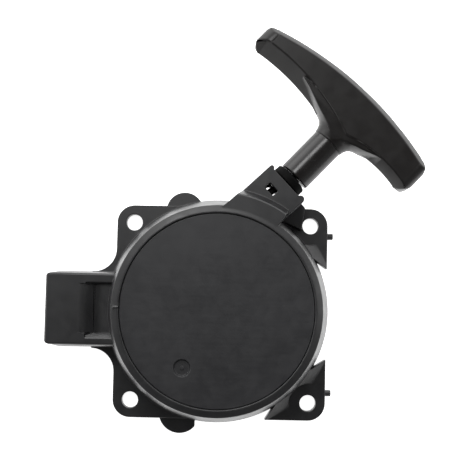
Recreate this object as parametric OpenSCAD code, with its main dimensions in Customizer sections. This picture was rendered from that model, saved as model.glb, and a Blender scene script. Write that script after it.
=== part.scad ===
// Recoil starter for a small engine: housing, cover, recoil spring, rope pulley, pawls, rope and T-grip.
// The part lies on its mounting face. +Z is the pulley's axis and points away from the engine.
// The origin is the centre of the four-bolt pattern, on the mounting face.

/* [Mounting flange] */
// distance between bolt hole centres, both ways
bolt_spacing = 72; // [70:0.5:73]
// radius of the bolt holes
bolt_hole_r = 3.3; // [2.8:0.1:3.5]
// distance from a hole's centre to the flange's edge
lug_edge = 7; // [6.5:0.5:8]
// thickness of the flange
flange_t = 5; // [4:0.5:6]

/* [Housing] */
// height of the housing over the mounting face
housing_h = 38; // [38:0.5:40]
// outer radius of the drum wall at the mounting face
drum_base_r = 45.6; // [45:0.1:46]
// outer radius of the drum wall at the rim's shoulder
drum_top_r = 40.2; // [40:0.1:41]
// thickness of the drum wall
wall_t = 2.2; // [1.8:0.1:2.4]
// radius of the recess that holds the cover disc
cover_seat_r = 37.1; // [36.5:0.1:37.3]

/* [Side duct] */
// how far the duct reaches left of the origin
duct_reach = 69.3; // [66:0.5:72]
// height of the duct over the mounting face
duct_h = 22; // [20:0.5:24]

/* [Rope outlet] */
// height of the rope over the mounting face
rope_z = 22.4; // [22:0.1:22.6]
// direction of the nozzle, seen from the front
nozzle_dir = 43.5; // [42:0.5:45]
// radius of the rope
rope_r = 1.45; // [1.2:0.05:1.45]

/* [Grip] */
// direction in which the handle is pulled, seen from the front
pull_dir = 46.6; // [45:0.1:47]
// radius of the grip's stem
stem_r = 6.5; // [6:0.1:6.8]
// half of the grip's thickness
grip_half_t = 8; // [7:0.5:9]

/* [Hidden] */
$fn = 96;

half = bolt_spacing / 2;
edge = half + lug_edge;
axis_x = -1.5;
axis_y = 0.7;

// levels above the mounting face
deck_t = 2;
cover_t = 1.6;
cover_sink = 0.5;
seat_z = housing_h - cover_t - cover_sink;
deck_z = seat_z - deck_t;
groove_half = 3.35;
coil_pitch_z = 3.3;
coil_pitch_r = 3.2;
groove_mid = rope_z - coil_pitch_z / 2;
groove_lo = groove_mid - groove_half;
groove_hi = groove_mid + groove_half;
flange_rope_t = 1.8;
pulley_lo = groove_lo - flange_rope_t;
pulley_hi = groove_hi + flange_rope_t;
pawl_t = 3.8;
pawl_hi = pulley_lo - 0.2;
pawl_lo = pawl_hi - pawl_t;
plate_t = 1.8;
plate_hi = pawl_lo - 0.4;
plate_lo = plate_hi - plate_t;
washer_t = 1.2;
washer_hi = plate_lo - 0.1;
washer_lo = washer_hi - washer_t;
screw_head_t = 2.8;

// centre of the mechanism
post_r = 5;
bearing_r = 6.8;
hub_r = 9;
hub_top = deck_z - 1.6;
hub_low = pawl_hi - 2.3;
coil_r = 28;
pulley_r = 31;
groove_root_r = coil_r - 2 * coil_pitch_r - rope_r - 0.3;

// pawls and their cam
pawl_pivot_r = 15.5;
pawl_pin_r = 1.9;
pawl_rest = -30;
pawl_swing = 32;
cam_turn = 25;
peg_at = 6.5;
peg_r = 1.25;
pawl_len = 13.5;

// rope outlet
bush_x = 26.3;
bush_y = 53.1;
bush_flange_r = 6.85;
bush_in = 3;
bush_out = 0.85;
bush_sleeve_r = 5;
bush_bore_r = 2;
nozzle_left = 8.85;
nozzle_right = 10.1;
nozzle_lo = rope_z - 8.2;
nozzle_hi = rope_z + 7.6;
step_r = 45.5;
step_top = housing_h - 0.4;
bush_dist = sqrt((bush_x - axis_x) * (bush_x - axis_x) + (bush_y - axis_y) * (bush_y - axis_y));
bush_angle = atan2(bush_y - axis_y, bush_x - axis_x);
lead_dir = bush_angle - asin(coil_r / bush_dist);
lead_len = sqrt(bush_dist * bush_dist - coil_r * coil_r);

// grip, measured along the pull from the bushing's outer face
grip_x = 27.8;
grip_y = 54.1;
bar_arc_r = 143;
bar_top = 43.35;
sleeve_start = -0.3;
collar_start = 18.8;
knot_lo = 31;
knot_hi = 38;
washer_knot_t = 1.2;
rope_end = knot_lo + washer_knot_t + 1;

module at_axis() {
    translate([axis_x, axis_y, 0])
        children();
}

module in_nozzle() {
    translate([bush_x, bush_y, rope_z])
        rotate([0, 0, nozzle_dir])
            children();
}

module in_grip() {
    translate([grip_x, grip_y, rope_z])
        rotate([0, 0, pull_dir])
            children();
}

module ring(r_out, r_in, z_lo, z_hi) {
    translate([0, 0, z_lo])
        difference() {
            cylinder(r = r_out, h = z_hi - z_lo);
            translate([0, 0, -1])
                cylinder(r = r_in, h = z_hi - z_lo + 2);
        }
}

module box(x0, x1, y0, y1, z0, z1) {
    translate([x0, y0, z0])
        cube([x1 - x0, y1 - y0, z1 - z0]);
}

module bolt_places() {
    for (sx = [-1, 1]) {
        for (sy = [-1, 1]) {
            translate([sx * half, sy * half, 0])
                children();
        }
    }
}

// the flange's outline, with the notches at the right and below where the drum stands past it
module flange_outline() {
    corner_r = lug_edge;
    duct_fillet = 9.3;
    difference() {
        union() {
            square([2 * half, 2 * edge], center = true);
            square([2 * edge, 2 * half], center = true);
            bolt_places()
                circle(r = corner_r);
            difference() {
                translate([-edge - duct_fillet, -24.8])
                    square([duct_fillet + 6, 49.8]);
                translate([-edge - duct_fillet, 25])
                    circle(r = duct_fillet);
                translate([-edge - duct_fillet, -24.8])
                    circle(r = duct_fillet);
            }
        }
        polygon([[edge + 8, 12.9], [edge, 18.4], [36, 23.3], [20, 0], [36, -22.6], [edge, -18.2],
                 [edge + 8, -13.2]]);
        polygon([[-4, -52], [12.8, -52], [18.3, -edge - 0.4], [24, -34.4], [0, -20]]);
    }
}

// the cone that eases the two right-hand lugs into the drum wall, inside the flange's outline
module flange_rise() {
    rise = 5;
    reach = 3.4;
    intersection() {
        linear_extrude(height = flange_t + rise)
            flange_outline();
        at_axis()
            translate([0, 0, flange_t - 0.5])
                cylinder(r1 = drum_base_r + reach, r2 = drum_base_r - 2.3, h = rise + 0.5);
        box(5, 60, -60, 60, 0, 20);
    }
}

// drafted wall, and a rim with its crest beside the cover that falls away to the shoulder
module drum_outer() {
    shoulder = 0.75;
    crest_r = cover_seat_r + 0.6;
    at_axis()
        rotate_extrude()
            polygon([[0, 0], [drum_base_r, 0], [drum_top_r, housing_h - shoulder],
                     [drum_top_r - 0.15, housing_h - 0.6],
                     [drum_top_r - 0.5, housing_h - 0.48], [crest_r + 0.5, housing_h - 0.08],
                     [crest_r, housing_h],
                     [crest_r - 0.3, housing_h - 0.05], [crest_r - 0.6, housing_h - 0.25],
                     [0, housing_h - 0.25]]);
}

module drum_inner() {
    slope = (drum_base_r - drum_top_r) / (housing_h - 1);
    at_axis()
        rotate_extrude()
            polygon([[0, -1], [drum_base_r - wall_t + slope, -1],
                     [drum_base_r - wall_t - slope * deck_z, deck_z], [0, deck_z]]);
}

// side duct: drafted side walls, rounded corners in plan, open towards the engine
module duct_outer() {
    corner = 2.6;
    intersection() {
        translate([-duct_reach, 0, 0])
            rotate([90, 0, 90])
                linear_extrude(height = 34)
                    polygon([[-15.2, 0], [15.8, 0], [14.5, duct_h - 0.6], [13.9, duct_h], [-13.1, duct_h],
                             [-13.7, duct_h - 0.6]]);
        linear_extrude(height = duct_h + 1)
            union() {
                translate([-duct_reach + corner, -30])
                    square([34, 60]);
                translate([-duct_reach, -13.7 + corner])
                    square([34, 28.2 - 2 * corner]);
                translate([-duct_reach + corner, -13.7 + corner])
                    circle(r = corner);
                translate([-duct_reach + corner, 14.5 - corner])
                    circle(r = corner);
            }
        translate([0, 30, 0])
            rotate([90, 0, 0])
                linear_extrude(height = 60)
                    polygon([[-duct_reach, -1], [-duct_reach + 0.4, duct_h - 0.7],
                             [-duct_reach + 1.1, duct_h], [-30, duct_h], [-30, -1]]);
    }
}

module duct_inner() {
    box(-duct_reach + 2.4, -30, -11.6, 12.4, -1, duct_h - 5);
    box(-duct_reach + 2.4, -56, -11.6, 12.4, -1, duct_h - 2);
}

// upright fillet in the corner between the duct's side and the drum, at the given side's height on Y
module duct_fillet(side_y) {
    fillet_r = 3.6;
    drum_r = drum_top_r + (drum_base_r - drum_top_r) * (housing_h - duct_h) / housing_h;
    side = sign(side_y);
    centre_y = side_y + side * fillet_r;
    reach_y = centre_y - axis_y;
    centre_x = axis_x - sqrt((drum_r + fillet_r) * (drum_r + fillet_r) - reach_y * reach_y);
    touch = drum_r / (drum_r + fillet_r);
    touch_x = axis_x + (centre_x - axis_x) * touch;
    touch_y = axis_y + reach_y * touch;
    linear_extrude(height = duct_h - 0.8)
        difference() {
            polygon([[centre_x, side_y], [centre_x, side_y - 2 * side], [touch_x + 3, side_y - 2 * side],
                     [touch_x + 3, touch_y], [touch_x, touch_y]]);
            translate([centre_x, centre_y])
                circle(r = fillet_r);
        }
}

// sunken ramp in the duct's top that runs down to the drum, eased at both ends
module duct_ramp() {
    ramp_from = -56;
    ramp_run = 9.5;
    ramp_depth = 2.6;
    steps = 10;
    ramp = [for (i = [0:steps])
        [ramp_from + ramp_run * i / steps, duct_h - ramp_depth * (1 - cos(180 * i / steps)) / 2]];
    translate([0, 10.2, 0])
        rotate([90, 0, 0])
            linear_extrude(height = 19.4)
                polygon(concat([[ramp_from, duct_h + 0.2]], ramp, [[-38, duct_h - ramp_depth],
                         [-38, duct_h + 0.2]]));
    translate([-53, -9.2, duct_h])
        rotate([0, 90, 0])
            linear_extrude(height = 14)
                polygon([[0, 0.2], [0, -1.8], [1.9, 0.2]]);
    translate([-53, 10.2, duct_h])
        rotate([0, 90, 0])
            linear_extrude(height = 14)
                polygon([[0, -0.2], [0, 0.7], [1.9, -0.2]]);
}

// the rope outlet: one straight block, low at the nozzle and flush with the rim over the drum
module nozzle_outer() {
    in_nozzle()
        box(-38, -bush_in - 0.4, -nozzle_right, nozzle_left, nozzle_lo - rope_z, nozzle_hi - rope_z);
    in_nozzle()
        box(-8, -bush_in, -7.6, 7.6, nozzle_lo - rope_z, nozzle_hi - rope_z);
    in_nozzle()
        box(-8, -3.15, 6.95, nozzle_left, nozzle_lo - rope_z, nozzle_hi - rope_z);
    in_nozzle()
        translate([-3.15, (6.95 + nozzle_left) / 2, nozzle_lo - rope_z])
            cylinder(r = (nozzle_left - 6.95) / 2, h = nozzle_hi - nozzle_lo);
    in_nozzle()
        box(-8, -2.9, -nozzle_right, -6.95, nozzle_lo - rope_z, nozzle_hi - rope_z);
    in_nozzle()
        translate([-3.2, -nozzle_right + 1.4, nozzle_lo - rope_z])
            cylinder(r = 1.4, h = nozzle_hi - nozzle_lo);
    intersection() {
        in_nozzle()
            box(-44, 10, -30, nozzle_left, -rope_z, step_top - rope_z);
        at_axis()
            rotate_extrude()
                polygon([[0, 0], [step_r + 3, 0], [step_r + 2.2, nozzle_hi], [step_r, step_top - 0.7],
                         [step_r - 0.3, step_top - 0.2], [step_r - 0.8, step_top], [0, step_top]]);
        at_axis()
            rotate([0, 0, 55.5])
                cube([60, 60, housing_h]);
    }
    // web below the nozzle, beside the upper right lug
    linear_extrude(height = 9)
        polygon([[33.4, 43], [31.5, 45.1], [30, 46.7], [28.4, 46.2], [24, 41.8], [23, 38], [32, 34]]);
}

module nozzle_inner() {
    in_nozzle()
        translate([-16, 0, 0])
            rotate([0, 90, 0])
                cylinder(r = bush_sleeve_r, h = 20);
    translate([bush_x, bush_y, rope_z])
        rotate([0, 0, lead_dir])
            box(-32, -6, -3.4, 3.4, -4, 4);
    // catch window, through both faces of the nozzle
    in_nozzle()
        box(-10.4, -7.7, -0.5, 4, -20, 20);
}

module housing() {
    color([0.17, 0.17, 0.18])
        difference() {
            union() {
                difference() {
                    union() {
                        linear_extrude(height = flange_t)
                            flange_outline();
                        flange_rise();
                        duct_outer();
                        duct_fillet(-13.2);
                        duct_fillet(14);
                    }
                    duct_inner();
                    duct_ramp();
                    // spot faces round the bolt holes
                    bolt_places()
                        translate([0, 0, flange_t])
                            cylinder(r = 7.9, h = 20);
                }
                drum_outer();
                nozzle_outer();
                // round ears above and below
                translate([-15.6, 41.3, 0])
                    cylinder(r = 7.6, h = 3);
                intersection() {
                    translate([-15.9, -40.8, 0])
                        cylinder(r = 8.4, h = 3);
                    box(-30, -9.6, -60, 0, -1, 5);
                }
                intersection() {
                    at_axis()
                        cylinder(r = 48.1, h = 3);
                    linear_extrude(height = 3)
                        polygon([[-1.5, 0.7], [-23, -48], [-11, -52], [-10.2, -46.6]]);
                }
                // pegs on the flange's right edge
                for (py = [31.9, -31.9]) {
                    translate([edge - 2, py, flange_t / 2])
                        rotate([0, 90, 0])
                            cylinder(r = 1.3, h = 4.4);
                }
            }
            drum_inner();
            nozzle_inner();
            // recess for the cover
            at_axis()
                translate([0, 0, seat_z])
                    cylinder(r = cover_seat_r, h = 10);
            // seat and hole of the post
            at_axis()
                translate([0, 0, seat_z - 1.2])
                    cylinder(r = 8, h = 5);
            at_axis()
                cylinder(r = post_r + 0.02, h = 60);
            // slots for the cover's snap legs
            for (a = [30, 150, 270]) {
                at_axis()
                    rotate([0, 0, a])
                        box(32.2, 34.6, -3.2, 3.2, deck_z - 1, seat_z + 1);
            }
            bolt_places()
                translate([0, 0, -1])
                    cylinder(r = bolt_hole_r, h = 30);
        }
    color([0.17, 0.17, 0.18])
        at_axis()
            ring(29, 27.5, deck_z - 5.5, deck_z + 0.2);
    color([0.17, 0.17, 0.18])
        at_axis()
            translate([-39.5, 0.65, housing_h - 0.45])
                rotate([90, 0, 90])
                    linear_extrude(height = 2.3)
                        polygon([[-0.6, -0.6], [0.6, -0.6], [0.6, 0.1], [0, 0.85], [-0.6, 0.1]]);
}

module cover_disc() {
    gate_r = 3.3;
    at_axis()
        color([0.18, 0.18, 0.19])
            union() {
                difference() {
                    translate([0, 0, seat_z])
                        union() {
                            cylinder(r = cover_seat_r - 0.1, h = cover_t - 0.2);
                            translate([0, 0, cover_t - 0.2])
                                cylinder(r1 = cover_seat_r - 0.1, r2 = cover_seat_r - 0.3, h = 0.2);
                        }
                    translate([-12.75, -21.65, seat_z + cover_t - 1.1])
                        cylinder(r1 = gate_r - 0.5, r2 = gate_r + 0.1, h = 1.2);
                }
                translate([-12.75, -21.65, seat_z + 0.3])
                    cylinder(r = 0.75, h = 0.6);
                for (a = [30, 150, 270]) {
                    rotate([0, 0, a])
                        union() {
                            box(32.5, 34, -2.8, 2.8, deck_z - 1.8, seat_z + 0.4);
                            box(33.8, 35.2, -2.8, 2.8, deck_z - 1.8, deck_z - 0.3);
                        }
                }
            }
}

module centre_post() {
    color([0.65, 0.66, 0.68])
        at_axis()
            difference() {
                union() {
                    translate([0, 0, washer_hi])
                        cylinder(r = post_r, h = seat_z - washer_hi);
                    translate([0, 0, seat_z - 1.2])
                        cylinder(r = 7.9, h = 1.1);
                }
                translate([0, 0, washer_hi - 1])
                    cylinder(r = 2.55, h = 15);
            }
}

module spring_cup() {
    floor_t = 1;
    color([0.62, 0.64, 0.66])
        at_axis()
            difference() {
                translate([0, 0, pulley_hi + 0.5])
                    cylinder(r = 27.4, h = deck_z - pulley_hi - 0.5);
                translate([0, 0, pulley_hi - 1])
                    cylinder(r = 26.2, h = deck_z - pulley_hi - floor_t + 1);
                cylinder(r = hub_r + 0.6, h = 50);
            }
}

module spring_anchor() {
    color([0.6, 0.61, 0.63])
        at_axis()
            rotate([0, 0, 180])
                translate([23.45, 0, pulley_hi + 0.8])
                    cylinder(r = 1.15, h = deck_z - pulley_hi - 1.8);
}

// flat strip wound as half circles about two centres, with a hook at each end
module recoil_spring() {
    strip = 0.6;
    pitch = 1.5;
    first_r = hub_r + 0.6;
    turns = 8;
    wide = 5.6;
    color([0.45, 0.47, 0.52])
        at_axis()
            translate([0, 0, deck_z - 1.3 - wide])
                linear_extrude(height = wide)
                    union() {
                        for (i = [0:turns]) {
                            intersection() {
                                difference() {
                                    circle(r = first_r + i * pitch + strip);
                                    circle(r = first_r + i * pitch);
                                }
                                translate([-40, 0])
                                    square([80, 40]);
                            }
                        }
                        for (i = [0:turns - 1]) {
                            intersection() {
                                translate([pitch / 2, 0])
                                    difference() {
                                        circle(r = first_r + (i + 0.5) * pitch + strip);
                                        circle(r = first_r + (i + 0.5) * pitch);
                                    }
                                translate([-40, -40])
                                    square([80, 40]);
                            }
                        }
                        translate([hub_r - 1.1, -strip])
                            square([1.7 + strip, strip]);
                        translate([-first_r - turns * pitch - strip - 1.25, 0])
                            difference() {
                                circle(r = 1.85);
                                circle(r = 1.25);
                            }
                    }
}

module rope_bushing() {
    color([0.06, 0.06, 0.06])
        in_nozzle()
            difference() {
                union() {
                    translate([-bush_in + 0.05, 0, 0])
                        rotate([0, 90, 0])
                            union() {
                                cylinder(r1 = bush_flange_r - 0.6, r2 = bush_flange_r, h = 0.6);
                                translate([0, 0, 0.6])
                                    cylinder(r = bush_flange_r, h = bush_in + bush_out - 1.25);
                                translate([0, 0, bush_in + bush_out - 0.65])
                                    cylinder(r1 = bush_flange_r, r2 = bush_flange_r - 0.6, h = 0.6);
                            }
                    translate([-7.4, 0, 0])
                        rotate([0, 90, 0])
                            cylinder(r = bush_sleeve_r - 0.02, h = 5);
                    box(-10, -7, 2.9, 3.9, -2.8, 2.8);
                }
                translate([-12, 0, 0])
                    rotate([0, 90, 0])
                        cylinder(r = bush_bore_r, h = 20);
                translate([-12, 0, 0])
                    rotate([0, 90, 0])
                        cylinder(r1 = 6, r2 = bush_bore_r, h = 9);
                translate([-1.3, 0, 0])
                    rotate([0, 90, 0])
                        cylinder(r1 = bush_bore_r, r2 = 4.2, h = 2.2);
            }
}

module thrust_washer() {
    color([0.7, 0.71, 0.73])
        at_axis()
            ring(8.5, 2.6, washer_lo, washer_hi);
}

module centre_screw() {
    color([0.72, 0.72, 0.7])
        at_axis()
            difference() {
                union() {
                    translate([0, 0, washer_lo])
                        cylinder(r = 2.5, h = 12);
                    translate([0, 0, washer_lo - screw_head_t])
                        cylinder(r = 4.2, h = screw_head_t, $fn = 6);
                    translate([0, 0, washer_lo - 0.8])
                        cylinder(r = 5, h = 0.8);
                }
                translate([0, 0, washer_lo - screw_head_t - 1])
                    cylinder(r = 1.6, h = 2);
            }
}

module pulley() {
    color([0.82, 0.81, 0.76])
        at_axis()
            difference() {
                union() {
                    rotate_extrude()
                        polygon([[bearing_r, pulley_lo], [pulley_r, pulley_lo], [pulley_r, pulley_lo + 0.9],
                                 [groove_root_r + 1, groove_lo], [groove_root_r, groove_lo + 0.4],
                                 [groove_root_r, groove_hi - 0.4], [groove_root_r + 1, groove_hi],
                                 [pulley_r, pulley_hi - 0.9], [pulley_r, pulley_hi], [bearing_r, pulley_hi]]);
                    ring(hub_r, bearing_r, pulley_hi - 0.2, hub_top);
                    ring(hub_r, bearing_r, hub_low, pulley_lo + 0.2);
                }
                // ring of pockets between hub and groove, open to the engine side
                for (k = [0:5]) {
                    rotate([0, 0, 60 * k + 60])
                        translate([13.6, 0, pulley_lo + 3.2])
                            cylinder(r = 2.6, h = 20);
                }
                // slot for the spring's inner end
                box(hub_r - 1.5, hub_r + 1, -1, 0.4, pulley_hi, 60);
                // knot pocket
                rotate([0, 0, lead_dir + 90 - 300])
                    translate([17, 0, groove_mid])
                        cylinder(r = 3.3, h = 30);
                rotate([0, 0, lead_dir + 90 - 300])
                    translate([15, 0, groove_mid + 1.2])
                        rotate([0, 90, 0])
                            cylinder(r = rope_r + 0.15, h = 8);
                // holes of the pawl pins
                for (a = [0, 180]) {
                    rotate([0, 0, a])
                        translate([0, pawl_pivot_r, pulley_lo - 1])
                            cylinder(r = pawl_pin_r, h = 6);
                }
            }
}

module pulley_bearing() {
    color([0.72, 0.6, 0.35])
        at_axis()
            ring(bearing_r, post_r + 0.05, hub_low, hub_top);
}

module rope_coil() {
    lead_gap = 60;
    color([0.1, 0.1, 0.11])
        at_axis()
            union() {
                for (i = [0:2]) {
                    translate([0, 0, rope_z - coil_pitch_z])
                        rotate_extrude()
                            translate([coil_r - i * coil_pitch_r, 0])
                                circle(r = rope_r, $fn = 32);
                }
                for (i = [1:2]) {
                    translate([0, 0, rope_z])
                        rotate_extrude()
                            translate([coil_r - i * coil_pitch_r, 0])
                                circle(r = rope_r, $fn = 32);
                }
                translate([0, 0, rope_z])
                    rotate([0, 0, lead_dir + 90.6])
                        rotate_extrude(angle = 360 - lead_gap)
                            translate([coil_r, 0])
                                circle(r = rope_r, $fn = 32);
            }
}

module pulley_knot() {
    color([0.1, 0.1, 0.11])
        at_axis()
            rotate([0, 0, lead_dir + 90 - 300])
                union() {
                    translate([17, 0, groove_mid + 3.1])
                        sphere(r = 2.9, $fn = 48);
                    translate([17, 0, groove_mid + 1.2])
                        rotate([0, 90, 0])
                            cylinder(r = rope_r, h = 3);
                }
}

module pawl_pins() {
    color([0.68, 0.69, 0.71])
        at_axis()
            for (a = [0, 180]) {
                rotate([0, 0, a])
                    translate([0, pawl_pivot_r, pawl_lo - 0.25])
                        union() {
                            cylinder(r = pawl_pin_r, h = pulley_lo - pawl_lo + 4.7);
                            cylinder(r = pawl_pin_r + 0.9, h = 0.6);
                        }
            }
}

module pawl() {
    at_axis()
        translate([0, pawl_pivot_r, 0])
            rotate([0, 0, pawl_rest])
                difference() {
                    union() {
                        translate([0, 0, pawl_lo + 0.45])
                            cylinder(r = 3.9, h = pawl_t - 0.45);
                        translate([0, 0, pawl_lo + 0.45])
                            linear_extrude(height = pawl_t - 0.45)
                                polygon([[0, 3.9], [0, -3.9], [8, -3], [pawl_len, -1.4],
                                         [pawl_len - 1.2, 1.6], [7, 3.4]]);
                        translate([peg_at, 0, plate_lo + 0.1])
                            cylinder(r = peg_r, h = pawl_lo - plate_lo + 1, $fn = 48);
                    }
                    translate([0, 0, pawl_lo - 1])
                        cylinder(r = pawl_pin_r + 0.05, h = pawl_t + 2);
                    translate([0, 0, pawl_lo - 1])
                        cylinder(r = pawl_pin_r + 1.1, h = 1.85);
                }
}

module pawl_1() {
    color([0.55, 0.56, 0.58])
        pawl();
}

module pawl_2() {
    color([0.55, 0.56, 0.58])
        translate([2 * axis_x, 2 * axis_y, 0])
            rotate([0, 0, 180])
                pawl();
}

// plate with a slot for each pawl's peg: the slot is the peg's path as the pawl swings out
module friction_plate() {
    steps = 10;
    color([0.6, 0.61, 0.62])
        at_axis()
            difference() {
                ring(19.4, post_r + 0.08, plate_lo, plate_hi);
                for (side = [0, 180]) {
                    rotate([0, 0, side])
                        for (i = [0:steps]) {
                            rotate([0, 0, -cam_turn * i / steps])
                                translate([0, pawl_pivot_r, plate_lo - 1])
                                    rotate([0, 0, pawl_rest + pawl_swing * i / steps])
                                        translate([peg_at, 0, 0])
                                            cylinder(r = peg_r + 0.35, h = plate_t + 2, $fn = 48);
                        }
                    // clearance for the head of the pawl's pin
                    rotate([0, 0, side])
                        for (i = [0:4]) {
                            rotate([0, 0, -cam_turn * i / 4])
                                translate([0, pawl_pivot_r, plate_lo - 1])
                                    cylinder(r = pawl_pin_r + 1.2, h = plate_t + 2);
                        }
                    // hole for the spring's leg
                    rotate([0, 0, side - 30])
                        translate([8.6, 0, plate_lo - 1])
                            cylinder(r = 0.78, h = plate_t + 2);
                }
            }
}

module friction_spring() {
    wire_r = 0.6;
    arm_r = 0.52;
    leg_r = 0.66;
    clip_r = post_r + wire_r + 0.06;
    clip_z = plate_hi + 0.75;
    color([0.7, 0.71, 0.73])
        at_axis()
            rotate([0, 0, 150])
                union() {
                    translate([0, 0, clip_z])
                        rotate([0, 0, -4])
                            rotate_extrude(angle = 188)
                                translate([clip_r, 0])
                                    circle(r = wire_r, $fn = 32);
                    for (a = [0, 180]) {
                        rotate([0, 0, a])
                            translate([clip_r, 0, clip_z])
                                rotate([0, 90, 0])
                                    cylinder(r = arm_r, h = 8.6 - clip_r, $fn = 32);
                        rotate([0, 0, a])
                            translate([8.6, 0, plate_lo + 0.2])
                                cylinder(r = leg_r, h = clip_z - plate_lo + 0.45, $fn = 32);
                    }
                }
}

// hollow underside of one arm: low_r on the parting line, and face_r where it meets the two faces
module arm_hollow(low_r, face_r) {
    past = 1;
    wide_r = low_r + (face_r - low_r) * (grip_half_t + past) / grip_half_t;
    rotate_extrude()
        polygon([[0, -grip_half_t - past], [wide_r, -grip_half_t - past], [low_r, 0],
                 [wide_r, grip_half_t + past], [0, grip_half_t + past]]);
}

module grip_bar() {
    back_bevel = 2.3;
    back_bevel_h = 2.9;
    difference() {
        intersection() {
            // curved back of the bar, bevelled towards both faces
            translate([bar_top - bar_arc_r, 2, -grip_half_t])
                rotate_extrude()
                    polygon([[0, 0], [bar_arc_r - back_bevel, 0], [bar_arc_r - 0.4, back_bevel_h - 0.4],
                             [bar_arc_r, back_bevel_h + 0.6], [bar_arc_r, 2 * grip_half_t - back_bevel_h - 0.6],
                             [bar_arc_r - 0.4, 2 * grip_half_t - back_bevel_h + 0.4],
                             [bar_arc_r - back_bevel, 2 * grip_half_t], [0, 2 * grip_half_t]]);
            // outline with rounded ends
            translate([0, 0, -grip_half_t])
                linear_extrude(height = 2 * grip_half_t)
                    union() {
                        translate([18, -30.5])
                            square([30, 75.3]);
                        translate([29.4, -35.5])
                            square([5, 10]);
                        translate([29.4, -30.5])
                            circle(r = 5);
                        translate([34.4, -30.5])
                            circle(r = 5);
                        translate([28.8, 40])
                            square([3.8, 8.5]);
                        translate([28.8, 44.8])
                            circle(r = 3.7);
                        translate([32.6, 44.8])
                            circle(r = 3.7);
                    }
            // rounded ends, seen along the pull
            translate([18, 0, 0])
                rotate([0, 90, 0])
                    linear_extrude(height = 30)
                        union() {
                            translate([-grip_half_t, -30.5])
                                square([2 * grip_half_t, 73.5]);
                            translate([-grip_half_t + 5, -35.6])
                                square([2 * grip_half_t - 10, 84.2]);
                            for (s = [-1, 1]) {
                                translate([s * (grip_half_t - 5), -30.6])
                                    circle(r = 5);
                                translate([s * (grip_half_t - 5), 43.5])
                                    circle(r = 5);
                            }
                        }
        }
        translate([-64.85, 30.5, 0])
            arm_hollow(91, 96);
        translate([-24.7, -21, 0])
            arm_hollow(50, 52.8);
    }
}

// neck that widens from the stem into both arms, and stays inside the bar's two faces
module grip_neck() {
    neck_front = stem_r + 0.4;
    intersection() {
        rotate([0, 90, 0])
            rotate_extrude()
                polygon([[0, collar_start], [stem_r + 0.3, collar_start], [stem_r + 0.4, collar_start + 1.2],
                         [stem_r + 1.1, collar_start + 3], [stem_r + 2.4, collar_start + 4.3],
                         [stem_r + 4.6, collar_start + 5.4],
                         [stem_r + 7.4, collar_start + 6.4], [stem_r + 11, collar_start + 7.9],
                         [stem_r + 15, collar_start + 9.5], [stem_r + 19, collar_start + 10.7],
                         [stem_r + 19, 30.2], [0, 30.2]]);
        rotate([90, 0, 0])
            linear_extrude(height = 60, center = true)
                polygon([[collar_start - 1, -neck_front + 0.15], [27.2, 0.06 - grip_half_t],
                         [32, 0.06 - grip_half_t],
                         [32, grip_half_t - 0.06], [27.2, grip_half_t - 0.06],
                         [collar_start - 1, neck_front - 0.15]]);
    }
}

module grip() {
    color([0.15, 0.14, 0.14])
        in_grip()
            difference() {
                union() {
                    grip_bar();
                    grip_neck();
                    // raised pads along the curved back
                    intersection() {
                        translate([bar_top - bar_arc_r, 2, -2.6])
                            cylinder(r = bar_arc_r + 0.45, h = 5.2, $fn = 360);
                        union() {
                            box(34, 50, -31, -17, -4, 4);
                            box(34, 50, -13.5, 1.5, -4, 4);
                            box(34, 50, 5, 19, -4, 4);
                        }
                    }
                }
                // seat of the sleeve
                translate([collar_start - 1, 0, 0])
                    rotate([0, 90, 0])
                        cylinder(r = stem_r - 1.3, h = knot_lo - collar_start + 1);
                // knot's pocket, open at the back
                box(knot_lo - 0.5, knot_hi, -4.8, 4.8, -grip_half_t - 1, 4.8);
            }
}

module grip_sleeve() {
    color([0.16, 0.15, 0.15])
        in_grip()
            translate([sleeve_start, 0, 0])
                rotate([0, 90, 0])
                    difference() {
                        union() {
                            cylinder(r1 = stem_r - 0.5, r2 = stem_r, h = 0.5);
                            translate([0, 0, 0.5])
                                cylinder(r = stem_r, h = collar_start - sleeve_start - 0.5);
                            cylinder(r = stem_r - 1.35, h = knot_lo - sleeve_start);
                        }
                        translate([0, 0, -1])
                            cylinder(r = rope_r + 0.35, h = 60);
                        translate([0, 0, -0.1])
                            cylinder(r1 = 3.2, r2 = rope_r + 0.35, h = 1.5);
                    }
}

module knot_washer() {
    color([0.7, 0.71, 0.73])
        in_grip()
            translate([knot_lo, 0, 0])
                rotate([0, 90, 0])
                    difference() {
                        cylinder(r = 4.4, h = washer_knot_t);
                        translate([0, 0, -1])
                            cylinder(r = rope_r + 0.3, h = 5);
                    }
}

module handle_knot() {
    color([0.1, 0.1, 0.11])
        in_grip()
            difference() {
                union() {
                    translate([knot_lo + washer_knot_t + 2.8, 0, 0])
                        sphere(r = 2.75, $fn = 48);
                    translate([knot_lo + washer_knot_t + 3.1, 0, 0])
                        rotate([0, 90, 70])
                            translate([0, 0, -3.6])
                                cylinder(r = rope_r, h = 6.6, $fn = 32);
                }
                rotate([0, 90, 0])
                    cylinder(r = rope_r + 0.02, h = rope_end);
            }
}

// straight rope from the bushing to the grip's knot: it grows as the handle is pulled
module rope_outer() {
    color([0.1, 0.1, 0.11])
        in_grip()
            translate([-1.1, 0, 0])
                rotate([0, 90, 0])
                    cylinder(r = rope_r, h = rope_end + 1.1);
}

// straight rope inside the housing, from the coil to the bushing
module rope_inner() {
    color([0.1, 0.1, 0.11])
        at_axis()
            rotate([0, 0, lead_dir + 90])
                translate([coil_r, 0, rope_z])
                    rotate([90, 0, 0])
                        cylinder(r = rope_r, h = lead_len - 0.4);
}

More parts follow.
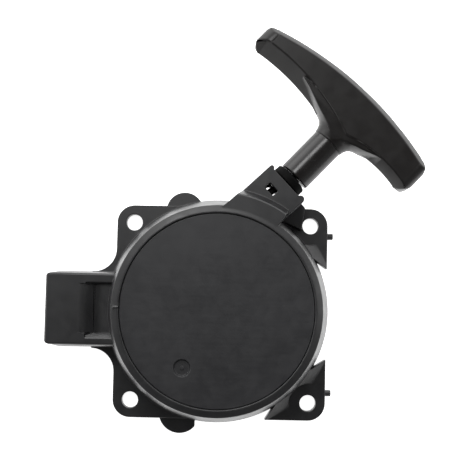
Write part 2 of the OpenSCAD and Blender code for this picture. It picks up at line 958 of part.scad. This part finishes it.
housing();
cover_disc();
centre_post();
spring_cup();
spring_anchor();
recoil_spring();
rope_bushing();
thrust_washer();
centre_screw();
pulley();
pulley_bearing();
rope_coil();
pulley_knot();
pawl_pins();
pawl_1();
pawl_2();
friction_plate();
friction_spring();
grip();
grip_sleeve();
knot_washer();
handle_knot();
rope_outer();
rope_inner();
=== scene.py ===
import bpy
import math
from mathutils import Euler, Matrix, Vector


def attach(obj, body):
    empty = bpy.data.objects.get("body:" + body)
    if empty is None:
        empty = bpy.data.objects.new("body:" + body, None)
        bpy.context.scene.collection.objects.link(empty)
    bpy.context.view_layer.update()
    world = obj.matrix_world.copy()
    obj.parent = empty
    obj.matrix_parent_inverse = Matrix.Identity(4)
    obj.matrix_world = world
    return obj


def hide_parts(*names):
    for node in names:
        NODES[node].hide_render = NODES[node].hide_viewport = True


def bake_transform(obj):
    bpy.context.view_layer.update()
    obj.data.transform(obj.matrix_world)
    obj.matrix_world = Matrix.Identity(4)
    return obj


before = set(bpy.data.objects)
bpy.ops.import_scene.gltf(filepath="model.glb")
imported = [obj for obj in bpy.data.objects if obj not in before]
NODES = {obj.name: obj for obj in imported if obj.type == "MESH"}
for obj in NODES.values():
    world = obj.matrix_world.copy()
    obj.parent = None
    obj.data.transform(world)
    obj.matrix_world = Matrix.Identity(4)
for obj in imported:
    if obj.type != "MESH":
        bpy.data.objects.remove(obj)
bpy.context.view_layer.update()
MM = 0.001

# places taken from the design, in metres
AXIS = Vector((-1.5, 0.7, 0.0)) * MM
BUSHING = Vector((26.3, 53.1, 22.4)) * MM
GRIP = Vector((27.8, 54.1, 22.4)) * MM
PULL_TURN = math.radians(46.6)

# finish of moulded and machined pieces
CLOUD_SIZE = 14 * MM
SMEAR_SIZE = 5 * MM
GRAIN_SIZE = 0.35 * MM
GRAIN_DEPTH = 0.05 * MM
MARK_SIZE = 1.1 * MM
MARK_STRETCH = 0.08
MARK_TURN = math.radians(4)
STREAK_SIZE = 1.2 * MM
STREAK_DEPTH = 0.03 * MM

# rounding of the design's edges
JOIN_GAP = 0.002 * MM
FLAT_ANGLE = math.radians(1)
CORNER_ANGLE = math.radians(28)
SMOOTH_ANGLE = math.radians(40)
SPIKE_SHARE = 0.45

# rope
ROPE_R = 1.45 * MM
ROPE_SIDES = 24
ROPE_STEP = 0.4 * MM
ROPE_RELIEF = 0.09 * MM
ROPE_SMOOTH_ANGLE = math.radians(50)
BRAID_LAY = 3.2 * MM
BRAID_WAVES = 3
ROPE_LEVEL = 22.4 * MM
COIL_R = 28 * MM
COIL_PITCH_R = 3.2 * MM
COIL_PITCH_Z = 3.3 * MM
COIL_TURNS = 5 + 60 / 360
COIL_SHIFT = 0.12
LEAD_GAP = 0.4 * MM
ROPE_IN_BUSHING = 1.1 * MM
ROPE_IN_GRIP = 33.2 * MM
KNOT_STRAND = 1.25 * MM
KNOT_BEND = 1.5 * MM
KNOT_RISE = 2.9 * MM
KNOT_WIND = 3 * math.pi
KNOT_STEPS = 36
HANDLE_KNOT_AT = 33.6 * MM
PULLEY_KNOT_R = 17 * MM
PULLEY_KNOT_TURN = math.radians(60)

# the studio
FLOOR_SIZE = 6
FLOOR_LEVEL = -0.2 * MM
FLOOR_CLOUD = 60 * MM
FLOOR_DARK = (0.88, 0.88, 0.88)
FLOOR_LIGHT = (0.9, 0.9, 0.9)
FLOOR_GLOW = 0.95
TENT_WALL = 2.6
TENT_TOP = 0.2
TENT_STOPS = ((0.45, 1.0), (0.8, 0.22))
TENT_SIDE = (-0.35, 0.93, 0.0)
TENT_DIM = 0.2
TENT_BRIGHT = 1.6
TENT_DIM_FROM = -0.3
TOP_BOX = {"place": (-0.12, 0.4, 0.83), "size": 0.3, "power": 2.4}
RIGHT_BOX = {"place": (0.6, 0.12, 0.7), "size": 0.3, "power": 1.0}
CAMERA_PLACE = Vector((-0.906, 2.787, 450)) * MM
CAMERA_TURN = (0.0691, -0.0104, 0.0215)
CAMERA_LENS = 85.34
CAMERA_SENSOR = 36


# ---------------------------------------------------------------- shader nodes

def new_material(name):
    mat = bpy.data.materials.new(name)
    mat.use_nodes = True
    tree = mat.node_tree
    shader = tree.nodes["Principled BSDF"]
    return mat, tree, shader


def object_coords(tree, scale=(1, 1, 1), turn=(0, 0, 0)):
    coord = tree.nodes.new("ShaderNodeTexCoord")
    mapping = tree.nodes.new("ShaderNodeMapping")
    mapping.inputs["Rotation"].default_value = turn
    mapping.inputs["Scale"].default_value = scale
    tree.links.new(coord.outputs["Object"], mapping.inputs["Vector"])
    return mapping.outputs["Vector"]


def noise(tree, vector, size, detail=4.0, rough=0.55, distortion=0.0):
    node = tree.nodes.new("ShaderNodeTexNoise")
    node.inputs["Scale"].default_value = 1.0 / size
    node.inputs["Detail"].default_value = detail
    node.inputs["Roughness"].default_value = rough
    node.inputs["Distortion"].default_value = distortion
    tree.links.new(vector, node.inputs["Vector"])
    return node.outputs["Fac"]


def spread(tree, value, low, high, from_low=0.35, from_high=0.65):
    """Stretch the middle of a noise, or another range, to the values low to high."""
    node = tree.nodes.new("ShaderNodeMapRange")
    node.inputs["From Min"].default_value = from_low
    node.inputs["From Max"].default_value = from_high
    node.inputs["To Min"].default_value = low
    node.inputs["To Max"].default_value = high
    tree.links.new(value, node.inputs["Value"])
    return node.outputs["Result"]


def two_tone(tree, value, dark, light, low=0.35, high=0.65):
    ramp = tree.nodes.new("ShaderNodeValToRGB")
    ramp.color_ramp.elements[0].position = low
    ramp.color_ramp.elements[0].color = (*dark, 1)
    ramp.color_ramp.elements[1].position = high
    ramp.color_ramp.elements[1].color = (*light, 1)
    tree.links.new(value, ramp.inputs["Fac"])
    return ramp.outputs["Color"]


def bump(tree, height, strength, distance):
    node = tree.nodes.new("ShaderNodeBump")
    node.inputs["Strength"].default_value = strength
    node.inputs["Distance"].default_value = distance
    tree.links.new(height, node.inputs["Height"])
    return node.outputs["Normal"]


# ---------------------------------------------------------------- materials

def moulded_plastic(name, dark, light, rough_low, rough_high, grain=0.05, spec=0.5):
    mat, tree, shader = new_material(name)
    coords = object_coords(tree)
    clouds = noise(tree, coords, CLOUD_SIZE, 3.0)
    tree.links.new(two_tone(tree, clouds, dark, light), shader.inputs["Base Color"])
    smears = noise(tree, coords, SMEAR_SIZE, 5.0, 0.6, 0.4)
    tree.links.new(spread(tree, smears, rough_low, rough_high), shader.inputs["Roughness"])
    fine = noise(tree, coords, GRAIN_SIZE, 2.0)
    tree.links.new(bump(tree, fine, grain, GRAIN_DEPTH), shader.inputs["Normal"])
    shader.inputs["Specular IOR Level"].default_value = spec
    return mat


def flow_marks(mat, depth):
    """Faint streaks in a moulded plate's gloss, drawn out almost along X."""
    tree = mat.node_tree
    rough = tree.nodes["Principled BSDF"].inputs["Roughness"]
    base = rough.links[0].from_socket
    drawn_out = object_coords(tree, scale=(MARK_STRETCH, 1, 1), turn=(0, 0, MARK_TURN))
    streaks = spread(tree, noise(tree, drawn_out, MARK_SIZE), -depth, depth)
    total = tree.nodes.new("ShaderNodeMath")
    total.operation = "ADD"
    tree.links.new(base, total.inputs[0])
    tree.links.new(streaks, total.inputs[1])
    tree.links.new(total.outputs["Value"], rough)


def metal(name, dark, light, rough_low, rough_high):
    mat, tree, shader = new_material(name)
    coords = object_coords(tree)
    streaks = noise(tree, coords, STREAK_SIZE, 6.0, 0.7)
    tree.links.new(two_tone(tree, streaks, dark, light), shader.inputs["Base Color"])
    shader.inputs["Metallic"].default_value = 1.0
    tree.links.new(spread(tree, streaks, rough_low, rough_high), shader.inputs["Roughness"])
    tree.links.new(bump(tree, streaks, 0.06, STREAK_DEPTH), shader.inputs["Normal"])
    return mat


HOUSING_DARK = (0.0075, 0.0075, 0.0082)
HOUSING_LIGHT = (0.0105, 0.0105, 0.0112)
COVER_DARK = (0.0075, 0.0075, 0.0087)
COVER_LIGHT = (0.0108, 0.0108, 0.0121)
GRIP_DARK = (0.0048, 0.0041, 0.0039)
GRIP_LIGHT = (0.007, 0.0062, 0.0059)
RUBBER_DARK = (0.0014, 0.0014, 0.0014)
RUBBER_LIGHT = (0.0022, 0.0022, 0.0022)
NYLON_DARK = (0.58, 0.56, 0.5)
NYLON_LIGHT = (0.66, 0.64, 0.57)
ROPE_DARK = (0.01, 0.01, 0.011)
ROPE_LIGHT = (0.022, 0.022, 0.024)

housing_plastic = moulded_plastic("housing_plastic", HOUSING_DARK, HOUSING_LIGHT, 0.34, 0.42)
cover_plastic = moulded_plastic("cover_plastic", COVER_DARK, COVER_LIGHT, 0.38, 0.46)
flow_marks(cover_plastic, 0.016)
grip_plastic = moulded_plastic("grip_plastic", GRIP_DARK, GRIP_LIGHT, 0.28, 0.36, spec=0.28)
sleeve_plastic = moulded_plastic("sleeve_plastic", GRIP_DARK, GRIP_LIGHT, 0.22, 0.28, spec=0.4)
bushing_rubber = moulded_plastic("bushing_rubber", RUBBER_DARK, RUBBER_LIGHT, 0.6, 0.7, spec=0.06)
pulley_plastic = moulded_plastic("pulley_plastic", NYLON_DARK, NYLON_LIGHT, 0.4, 0.5)
zinc_steel = metal("zinc_steel", (0.54, 0.54, 0.54), (0.6, 0.6, 0.59), 0.28, 0.34)
pawl_steel = metal("pawl_steel", (0.32, 0.32, 0.33), (0.42, 0.42, 0.43), 0.3, 0.42)
spring_steel = metal("spring_steel", (0.16, 0.19, 0.25), (0.27, 0.3, 0.36), 0.26, 0.36)
bronze = metal("sintered_bronze", (0.45, 0.3, 0.13), (0.58, 0.4, 0.19), 0.34, 0.46)
rope_fibre = moulded_plastic("rope_fibre", ROPE_DARK, ROPE_LIGHT, 0.6, 0.75, grain=0.4, spec=0.3)


def dress(material, *nodes):
    """Give a material to every slot of the design's own nodes."""
    for node in nodes:
        for slot in NODES[node].material_slots:
            slot.material = material


dress(housing_plastic, "housing")
dress(cover_plastic, "cover_disc")
dress(grip_plastic, "grip")
dress(sleeve_plastic, "grip_sleeve")
dress(bushing_rubber, "rope_bushing")
dress(pulley_plastic, "pulley")
dress(bronze, "pulley_bearing")
dress(zinc_steel, "centre_post", "spring_cup", "spring_anchor", "thrust_washer", "centre_screw")
dress(zinc_steel, "pawl_pins", "friction_plate", "knot_washer")
dress(pawl_steel, "pawl_1", "pawl_2")
dress(spring_steel, "recoil_spring", "friction_spring")
dress(rope_fibre, "rope_coil", "pulley_knot", "handle_knot", "rope_outer", "rope_inner")


# ---------------------------------------------------------------- moulded and machined pieces

def only(obj):
    """Select one object and make it the active one."""
    bpy.ops.object.select_all(action="DESELECT")
    obj.select_set(True)
    bpy.context.view_layer.objects.active = obj


def apply_all(obj):
    only(obj)
    for modifier in list(obj.modifiers):
        bpy.ops.object.modifier_apply(modifier=modifier.name)


def pull_in_spikes(piece, source, reach):
    """Points that the rounding threw too far off the design's surface go back onto it."""
    for vertex in piece.data.vertices:
        found, place, _normal, _face = source.closest_point_on_mesh(vertex.co)
        if found and (place - vertex.co).length > reach:
            vertex.co = place


def softened(node, name, material, width, body, segments=2):
    """A copy of a CAD node with its triangles joined into faces and every sharp edge rounded over."""
    source = NODES[node]
    mesh = source.data.copy()
    mesh.materials.clear()
    piece = bpy.data.objects.new(name, mesh)
    bpy.context.scene.collection.objects.link(piece)
    only(piece)
    bpy.ops.object.mode_set(mode="EDIT")
    bpy.ops.mesh.select_all(action="SELECT")
    bpy.ops.mesh.remove_doubles(threshold=JOIN_GAP)
    bpy.ops.mesh.dissolve_limited(angle_limit=FLAT_ANGLE)
    bpy.ops.object.mode_set(mode="OBJECT")
    bevel = piece.modifiers.new("rounding", "BEVEL")
    bevel.width = width
    bevel.segments = segments
    bevel.limit_method = "ANGLE"
    bevel.angle_limit = CORNER_ANGLE
    bevel.use_clamp_overlap = False
    bevel.miter_outer = "MITER_ARC"
    apply_all(piece)
    pull_in_spikes(piece, source, SPIKE_SHARE * width)
    only(piece)
    bpy.ops.object.shade_smooth_by_angle(angle=SMOOTH_ANGLE)
    even = piece.modifiers.new("even", "WEIGHTED_NORMAL")
    even.keep_sharp = True
    even.weight = 100
    apply_all(piece)
    piece.data.materials.append(material)
    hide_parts(node)
    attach(piece, body)


softened("housing", "housing_shell", housing_plastic, 0.3 * MM, "housing_body")
softened("cover_disc", "cover_plate", cover_plastic, 0.12 * MM, "housing_body")
softened("grip", "t_grip", grip_plastic, 0.5 * MM, "handle_body", segments=3)
softened("rope_bushing", "rope_guide", bushing_rubber, 0.2 * MM, "housing_body")
softened("grip_sleeve", "stem_sleeve", sleeve_plastic, 0.2 * MM, "handle_body")
softened("pulley", "rope_pulley", pulley_plastic, 0.2 * MM, "pulley_body")
softened("pulley_bearing", "bearing_sleeve", bronze, 0.15 * MM, "pulley_body")
softened("centre_post", "steel_post", zinc_steel, 0.25 * MM, "housing_body")
softened("centre_screw", "post_screw", zinc_steel, 0.15 * MM, "housing_body")
softened("thrust_washer", "post_washer", zinc_steel, 0.1 * MM, "housing_body")
softened("spring_cup", "steel_cup", zinc_steel, 0.12 * MM, "housing_body")
softened("pawl_pins", "pawl_pivots", zinc_steel, 0.15 * MM, "pulley_body")
softened("pawl_1", "steel_pawl_1", pawl_steel, 0.2 * MM, "pawl_1_body")
softened("pawl_2", "steel_pawl_2", pawl_steel, 0.2 * MM, "pawl_2_body")
softened("friction_plate", "cam_plate", zinc_steel, 0.12 * MM, "friction_body")
softened("knot_washer", "rope_washer", zinc_steel, 0.1 * MM, "handle_body")


# ---------------------------------------------------------------- rope

def swept_rope(name, radius, centre, turn, screw_offset, steps, turns=1):
    """Sweep the rope's round section about the Z axis, or along it when it doesn't turn."""
    bpy.ops.object.select_all(action="DESELECT")
    bpy.ops.mesh.primitive_circle_add(vertices=ROPE_SIDES, radius=radius, fill_type="NOTHING")
    rope = bpy.context.active_object
    rope.name = name
    bpy.ops.object.mode_set(mode="EDIT")
    bpy.ops.mesh.select_all(action="SELECT")
    if turn:
        bpy.ops.transform.rotate(value=math.pi / 2, orient_axis="X", center_override=(0, 0, 0))
    bpy.ops.transform.translate(value=centre)
    bpy.ops.object.mode_set(mode="OBJECT")
    sweep = rope.modifiers.new("sweep", "SCREW")
    sweep.axis = "Z"
    sweep.angle = turn
    sweep.screw_offset = screw_offset
    sweep.steps = steps
    sweep.render_steps = steps
    sweep.iterations = turns
    sweep.use_merge_vertices = False
    sweep.use_smooth_shade = True
    apply_all(rope)
    return rope


def braid(rope, radius, centre_of):
    """Shape a diamond braid on a swept rope. centre_of(ring) gives a ring's middle and its travel."""
    for vertex in rope.data.vertices:
        ring, side = divmod(vertex.index, ROPE_SIDES)
        middle, travel = centre_of(ring)
        around = 2 * math.pi * side / ROPE_SIDES
        weave = math.cos(BRAID_WAVES * around + 2 * math.pi * travel / BRAID_LAY)
        weave *= math.cos(BRAID_WAVES * around - 2 * math.pi * travel / BRAID_LAY)
        outward = vertex.co - middle
        vertex.co = middle + outward * (1 - ROPE_RELIEF / radius * (0.5 - 0.5 * weave))


def finish_rope(rope):
    """Close both ends, turn the faces outwards, and give the rope its shading and material."""
    only(rope)
    bpy.ops.object.mode_set(mode="EDIT")
    bpy.ops.mesh.select_all(action="DESELECT")
    bpy.ops.mesh.select_mode(type="EDGE")
    bpy.ops.mesh.select_non_manifold(extend=False, use_wire=False, use_boundary=True,
                                     use_multi_face=False, use_non_contiguous=False, use_verts=False)
    bpy.ops.mesh.edge_face_add()
    bpy.ops.mesh.select_all(action="SELECT")
    bpy.ops.mesh.normals_make_consistent(inside=False)
    bpy.ops.object.mode_set(mode="OBJECT")
    bpy.ops.object.shade_smooth_by_angle(angle=ROPE_SMOOTH_ANGLE)
    rope.data.materials.append(rope_fibre)


def straight_rope(name, node, start, heading, length):
    """A straight run of rope, from start along the heading in the plan."""
    rings = round(length / ROPE_STEP)

    def centre(ring):
        travel = length * ring / rings
        return Vector((0, 0, travel)), travel

    rope = swept_rope(name, ROPE_R, (0, 0, 0), 0.0, length, rings + 1)
    braid(rope, ROPE_R, centre)
    finish_rope(rope)
    lay = Euler((0, math.pi / 2, heading), "XYZ").to_matrix().to_4x4()
    rope.data.transform(Matrix.Translation(start) @ lay)
    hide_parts(node)
    return rope


def ease(value, low, high):
    """0 below low, 1 above high, and smooth between them."""
    share = min(max((value - low) / (high - low), 0.0), 1.0)
    return share * share * (3 - 2 * share)


def shifted(turns, whole):
    """How far the rope has moved over to its next place, just before a whole turn is done."""
    return ease(turns, whole - COIL_SHIFT, whole)


def coil_place(turns):
    """The wound rope's distance from the axis and its level, after so many turns from the outside in."""
    layer = shifted(turns, 2) + shifted(turns, 4)
    low = shifted(turns, 1) - shifted(turns, 3) + shifted(turns, 5)
    return COIL_R - COIL_PITCH_R * layer, ROPE_LEVEL - COIL_PITCH_Z * low


def wound_rope(lead):
    """The rope wound in the pulley's groove: two turns side by side in each layer, and layer over layer."""
    steps = round(2 * math.pi * COIL_R / ROPE_STEP)
    last_ring = round(COIL_TURNS * steps)
    section = (COIL_R, 0, ROPE_LEVEL)
    rope = swept_rope("wound_rope", ROPE_R, section, 2 * math.pi, 0.0, steps, math.ceil(COIL_TURNS))

    for vertex in rope.data.vertices:
        turns = vertex.index // ROPE_SIDES / steps
        radius, level = coil_place(turns)
        angle = 2 * math.pi * turns
        out = Vector((math.cos(angle), math.sin(angle), 0))
        vertex.co += out * (radius - COIL_R) + Vector((0, 0, level - ROPE_LEVEL))

    def centre(ring):
        turns = ring / steps
        radius, level = coil_place(turns)
        angle = 2 * math.pi * turns
        return Vector((radius * math.cos(angle), radius * math.sin(angle), level)), ring * ROPE_STEP

    braid(rope, ROPE_R, centre)
    only(rope)
    bpy.ops.object.mode_set(mode="EDIT")
    bpy.ops.mesh.select_all(action="DESELECT")
    bpy.ops.object.mode_set(mode="OBJECT")
    for vertex in rope.data.vertices:
        vertex.select = vertex.index // ROPE_SIDES > last_ring
    bpy.ops.object.mode_set(mode="EDIT")
    bpy.ops.mesh.select_mode(type="VERT")
    bpy.ops.mesh.delete(type="VERT")
    bpy.ops.object.mode_set(mode="OBJECT")
    finish_rope(rope)
    turned = Euler((0, 0, lead + math.pi / 2)).to_matrix().to_4x4()
    rope.data.transform(Matrix.Translation(AXIS) @ turned)
    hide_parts("rope_coil")
    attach(rope, "pulley_body")


def stopper_knot(name, node, place, turn, body):
    """A rope end wound round itself one and a half times and drawn tight."""

    def centre(ring):
        share = ring / KNOT_STEPS
        angle = KNOT_WIND * share
        across = KNOT_BEND * math.cos(angle)
        up = KNOT_BEND * math.sin(angle)
        return Vector((across, up, KNOT_RISE * share)), KNOT_BEND * angle

    rope = swept_rope(name, KNOT_STRAND, (KNOT_BEND, 0, 0), KNOT_WIND, KNOT_RISE, KNOT_STEPS)
    braid(rope, KNOT_STRAND, centre)
    finish_rope(rope)
    rope.data.transform(Matrix.Translation(place) @ Euler(turn, "XYZ").to_matrix().to_4x4())
    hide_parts(node)
    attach(rope, body)


def plan_way(turn):
    """The unit vector that points at an angle in the plan."""
    return Vector((math.cos(turn), math.sin(turn), 0))


# from the coil to the bushing, along the tangent
level = Vector((0, 0, ROPE_LEVEL))
to_bushing = BUSHING - AXIS
to_bushing.z = 0
lead_turn = math.atan2(to_bushing.y, to_bushing.x) - math.asin(COIL_R / to_bushing.length)
lead_length = math.sqrt(to_bushing.length ** 2 - COIL_R ** 2) - LEAD_GAP
lead_start = AXIS + Vector((-math.sin(lead_turn), math.cos(lead_turn), 0)) * COIL_R + level
wound_rope(lead_turn)
lead_rope = straight_rope("lead_rope", "rope_inner", lead_start, lead_turn, lead_length)
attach(lead_rope, "housing_body")

# from the bushing into the handle
pull_way = plan_way(PULL_TURN)
handle_start = GRIP - pull_way * ROPE_IN_BUSHING
handle_length = ROPE_IN_GRIP + ROPE_IN_BUSHING
handle_rope = straight_rope("handle_rope", "rope_outer", handle_start, PULL_TURN, handle_length)
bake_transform(handle_rope)

# the knots at the rope's two ends
along_pull = (0, math.pi / 2, PULL_TURN)
knot_place = GRIP + pull_way * HANDLE_KNOT_AT
stopper_knot("outer_knot", "handle_knot", knot_place, along_pull, "handle_body")
pocket_turn = lead_turn + math.pi / 2 + PULLEY_KNOT_TURN
pocket = AXIS + plan_way(pocket_turn) * PULLEY_KNOT_R + level
stopper_knot("inner_knot", "pulley_knot", pocket, (0, 0, pocket_turn), "pulley_body")


# ---------------------------------------------------------------- floor, light and camera

def make_floor():
    bpy.ops.object.select_all(action="DESELECT")
    bpy.ops.mesh.primitive_plane_add(size=FLOOR_SIZE, location=(0, 0, FLOOR_LEVEL))
    floor = bpy.context.active_object
    floor.name = "floor"
    mat, tree, shader = new_material("pale_floor")
    clouds = noise(tree, object_coords(tree), FLOOR_CLOUD)
    tree.links.new(two_tone(tree, clouds, FLOOR_DARK, FLOOR_LIGHT), shader.inputs["Base Color"])
    shader.inputs["Roughness"].default_value = 0.9
    shader.inputs["Emission Color"].default_value = (1, 1, 1, 1)
    shader.inputs["Emission Strength"].default_value = FLOOR_GLOW
    floor.data.materials.append(mat)


def make_tent():
    """A white light tent: bright low walls, brightest towards +Y, and a dim opening straight above."""
    world = bpy.context.scene.world or bpy.data.worlds.new("tent")
    bpy.context.scene.world = world
    world.use_nodes = True
    tree = world.node_tree
    back = tree.nodes["Background"]
    coord = tree.nodes.new("ShaderNodeTexCoord")
    split = tree.nodes.new("ShaderNodeSeparateXYZ")
    tree.links.new(coord.outputs["Generated"], split.inputs["Vector"])
    height = tree.nodes.new("ShaderNodeValToRGB")
    stops = height.color_ramp.elements
    stops[0].position = 0.0
    stops[0].color = (TENT_WALL, TENT_WALL, TENT_WALL, 1)
    stops[1].position = 1.0
    stops[1].color = (TENT_TOP, TENT_TOP, TENT_TOP, 1)
    for place, share in TENT_STOPS:
        level = TENT_TOP + (TENT_WALL - TENT_TOP) * share
        stops.new(place).color = (level, level, level, 1)
    tree.links.new(split.outputs["Z"], height.inputs["Fac"])
    side = tree.nodes.new("ShaderNodeVectorMath")
    side.operation = "DOT_PRODUCT"
    side.inputs[1].default_value = TENT_SIDE
    tree.links.new(coord.outputs["Generated"], side.inputs[0])
    lean = spread(tree, side.outputs["Value"], TENT_DIM, TENT_BRIGHT, TENT_DIM_FROM, 1)
    power = tree.nodes.new("ShaderNodeMath")
    power.operation = "MULTIPLY"
    tree.links.new(height.outputs["Color"], power.inputs[0])
    tree.links.new(lean, power.inputs[1])
    tree.links.new(power.outputs["Value"], back.inputs["Strength"])
    back.inputs["Color"].default_value = (1, 1, 1, 1)


def make_light(name, place, size, power):
    """A round soft box that faces the origin."""
    data = bpy.data.lights.new(name, "AREA")
    data.shape = "DISK"
    data.size = size
    data.energy = power
    lamp = bpy.data.objects.new(name, data)
    bpy.context.scene.collection.objects.link(lamp)
    lamp.location = place
    lamp.rotation_mode = "QUATERNION"
    lamp.rotation_quaternion = (-Vector(place)).to_track_quat("-Z", "Y")


def make_camera():
    data = bpy.data.cameras.new("camera")
    data.sensor_width = CAMERA_SENSOR
    data.lens = CAMERA_LENS
    camera = bpy.data.objects.new("camera", data)
    bpy.context.scene.collection.objects.link(camera)
    camera.location = CAMERA_PLACE
    camera.rotation_euler = Euler(CAMERA_TURN, "XYZ")
    bpy.context.scene.camera = camera


make_floor()
make_tent()
make_light("top_box", **TOP_BOX)
make_light("right_box", **RIGHT_BOX)
make_camera()
bpy.context.scene.view_settings.view_transform = "Standard"
